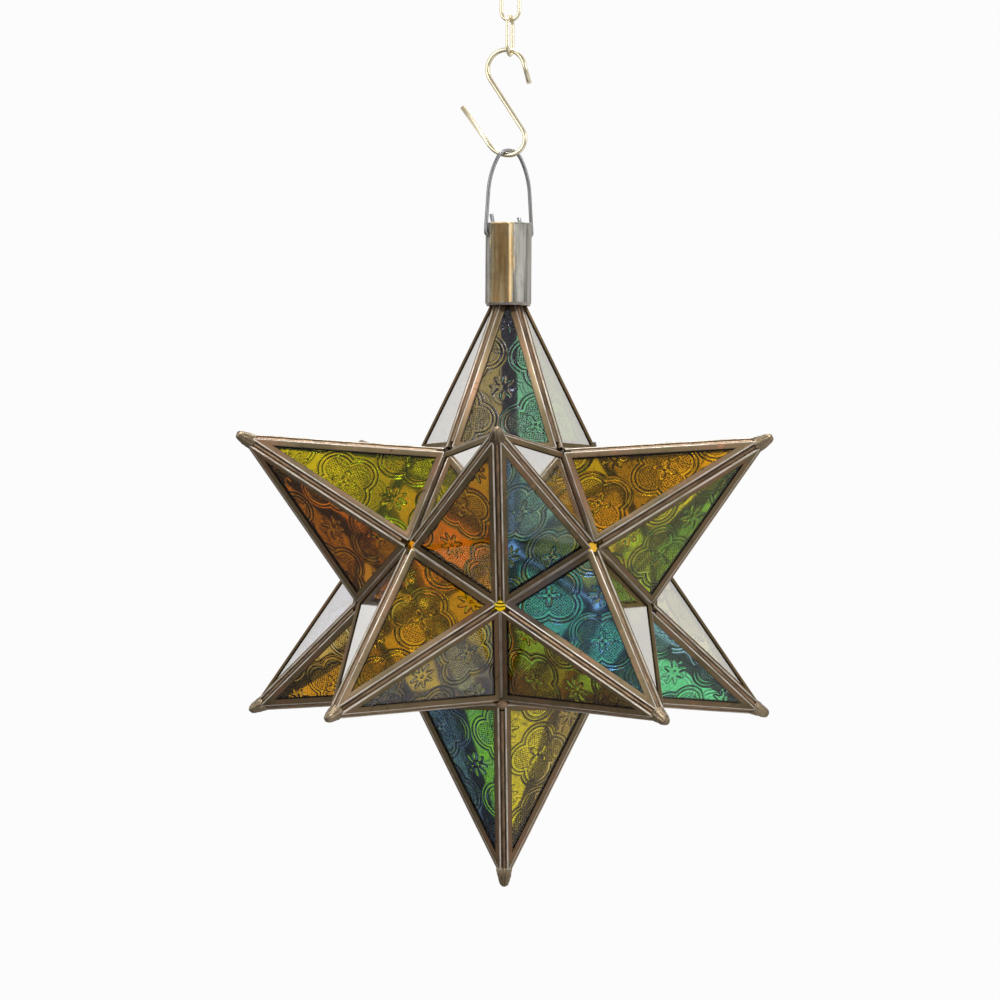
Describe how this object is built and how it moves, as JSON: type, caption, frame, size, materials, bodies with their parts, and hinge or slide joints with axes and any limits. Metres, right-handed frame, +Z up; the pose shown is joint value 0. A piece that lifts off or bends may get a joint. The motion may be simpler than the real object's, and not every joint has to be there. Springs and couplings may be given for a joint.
{
  "type": "hanging star lantern",
  "caption": "Hanging star-shaped lantern of patterned coloured glass in soldered metal channel, with a neck tube, wire bail, S-hook, chain links and a hinged point that opens to a candle.",
  "frame": {"origin": "the inner top of the uppermost link, where the lantern hangs on its ceiling hook", "axes": "+Z up along the hanging line, -Y the front of the star, +X to the right seen from the front"},
  "size_m": [0.3408, 0.3582, 0.5844],
  "materials": {
    "pale_brass": "pale brass-plated wire, clean and bright",
    "steel_wire": "dark drawn wire",
    "neck_brass": "aged rolled sheet, part tinned and part golden",
    "solder": "lumpy tin solder, dulled",
    "patina_channel": "brown patina with worn crowns",
    "leaf_brass": "thin aged sheet",
    "amber_glass": "patterned coloured glass, smooth outside",
    "olive_glass": "patterned coloured glass, smooth outside",
    "green_glass": "patterned coloured glass, smooth outside",
    "teal_glass": "patterned coloured glass, smooth outside",
    "foil": "thin pressed cup",
    "wax": "white candle wax",
    "wick": "waxed cotton"
  },
  "bodies": {
    "upper_link": {"upper_link": "pale_brass"},
    "lower_link": {"lower_link": "pale_brass"},
    "hook": {"s_hook": "pale_brass"},
    "bail": {"bail": "steel_wire"},
    "lantern": {"neck_tube": "neck_brass", "neck_solder": "solder", "top_frame": "patina_channel", "front_frame": "patina_channel", "right_frame": "patina_channel", "back_left_frame": "patina_channel", "left_frame": "patina_channel", "lower_front_right_frame": "patina_channel", "lower_right_frame": "patina_channel", "lower_back_frame": "patina_channel", "lower_left_frame": "patina_channel", "lower_front_left_frame": "patina_channel", "bottom_frame": "patina_channel", "top_glass": "olive_glass", "front_glass": "amber_glass", "right_glass": "amber_glass", "back_left_glass": "amber_glass", "left_glass": "olive_glass", "lower_front_right_glass": "teal_glass", "lower_right_glass": "teal_glass", "lower_back_glass": "amber_glass", "lower_left_glass": "olive_glass", "lower_front_left_glass": "amber_glass", "bottom_glass": "green_glass", "tip_solder": "solder", "valley_solder": "solder", "hinge_pin": "steel_wire", "fixed_leaves": "leaf_brass", "candle_bar": "leaf_brass", "candle_holder": "leaf_brass", "candle_cup": "foil", "candle_wax": "wax", "candle_wick": "wick"},
    "door": {"door_frame": "patina_channel", "door_glass": "green_glass", "door_tip": "solder", "door_pull": "steel_wire", "door_leaves": "leaf_brass"}
  },
  "joints": [
    {"name": "link_swing", "type": "hinge", "parent": "upper_link", "child": "lower_link", "pos_m": [0, 0, -0.02405], "axis": [0.9703, -0.2419, 0], "range_deg": [-60, 60]},
    {"name": "hook_swing", "type": "hinge", "parent": "lower_link", "child": "hook", "pos_m": [0, 0, -0.04655], "axis": [0.2419, 0.9703, 0], "range_deg": [-60, 60]},
    {"name": "bail_swing", "type": "hinge", "parent": "hook", "child": "bail", "pos_m": [0, 0, -0.11096], "axis": [0.9703, -0.2419, 0], "range_deg": [-30, 30]},
    {"name": "lantern_swing", "type": "hinge", "parent": "bail", "child": "lantern", "pos_m": [0, 0, -0.16306], "axis": [0.8572, 0.515, 0], "range_deg": [-30, 30]},
    {"name": "door_hinge", "type": "hinge", "parent": "lantern", "child": "door", "pos_m": [0.03022, 0.0416, -0.29866], "axis": [0.809, -0.5878, 0], "range_deg": [0, 100]}
  ]
}
